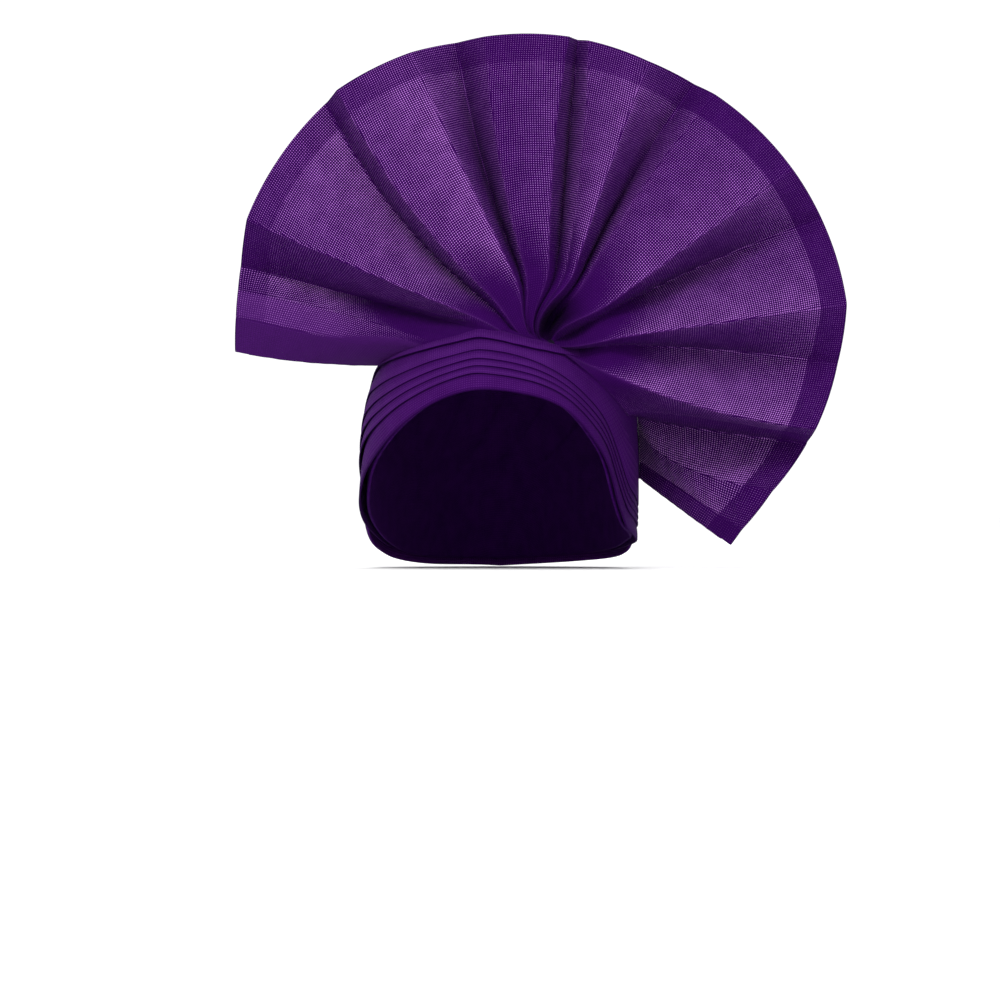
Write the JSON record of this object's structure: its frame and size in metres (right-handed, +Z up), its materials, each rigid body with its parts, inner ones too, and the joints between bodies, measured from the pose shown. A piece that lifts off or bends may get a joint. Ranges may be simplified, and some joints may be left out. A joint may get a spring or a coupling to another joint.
{
  "type": "tied gele head tie",
  "caption": "Stiff open-weave gele head tie: a close wrap with lapped brow pleats and a wide pleated fan gathered above the right of the brow, worn on the head.",
  "frame": {"origin": "inside of the crown where it rests on the top of the head, on the head's middle plane", "axes": "+X to the right seen from the front, -Y the front that the face looks to, +Z up"},
  "size_m": [0.3376, 0.1917, 0.2936],
  "materials": {
    "crown_cloth": "stiff woven net, several layers, matt with a faint sheen",
    "band_cloth": "stiff woven net folded in layers, matt with a faint sheen",
    "fan_cloth": "one layer of open square net, light shows through between the threads",
    "hem_cloth": "turned-in double layer of the net, denser than the fan"
  },
  "bodies": {
    "root": {"crown_wrap": "crown_cloth", "brow_pleat_1": "band_cloth", "brow_pleat_2": "band_cloth", "brow_pleat_3": "band_cloth", "brow_pleat_4": "band_cloth", "brow_pleat_5": "band_cloth", "nape_wrap": "crown_cloth", "fan": "fan_cloth", "rim_hem": "hem_cloth", "left_hem": "hem_cloth", "right_hem": "hem_cloth"}
  },
  "joints": []
}
